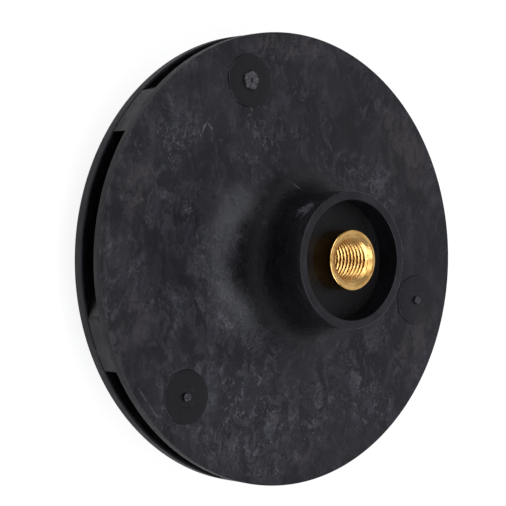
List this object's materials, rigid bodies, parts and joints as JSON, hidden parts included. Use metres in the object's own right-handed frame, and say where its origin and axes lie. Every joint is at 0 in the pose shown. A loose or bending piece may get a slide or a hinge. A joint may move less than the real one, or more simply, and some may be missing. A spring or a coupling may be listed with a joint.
{
  "type": "pump impeller",
  "caption": "Closed centrifugal pump impeller of black moulded plastic, with curved vanes between two shrouds and a brass threaded shaft insert in its hub.",
  "frame": {"origin": "centre of the eye ring's end face, which the impeller rests on", "axes": "+Z along the shaft axis towards the hub and the motor, +X and +Y in the plane of the shrouds"},
  "size_m": [0.1174, 0.1174, 0.0497],
  "materials": {
    "black_plastic": "black glass-filled moulded plastic with faint cloudy flow marks",
    "brass": "turned brass"
  },
  "bodies": {
    "root": {"hub_shroud": "black_plastic", "inlet_shroud": "black_plastic", "threaded_insert": "brass"}
  },
  "joints": []
}
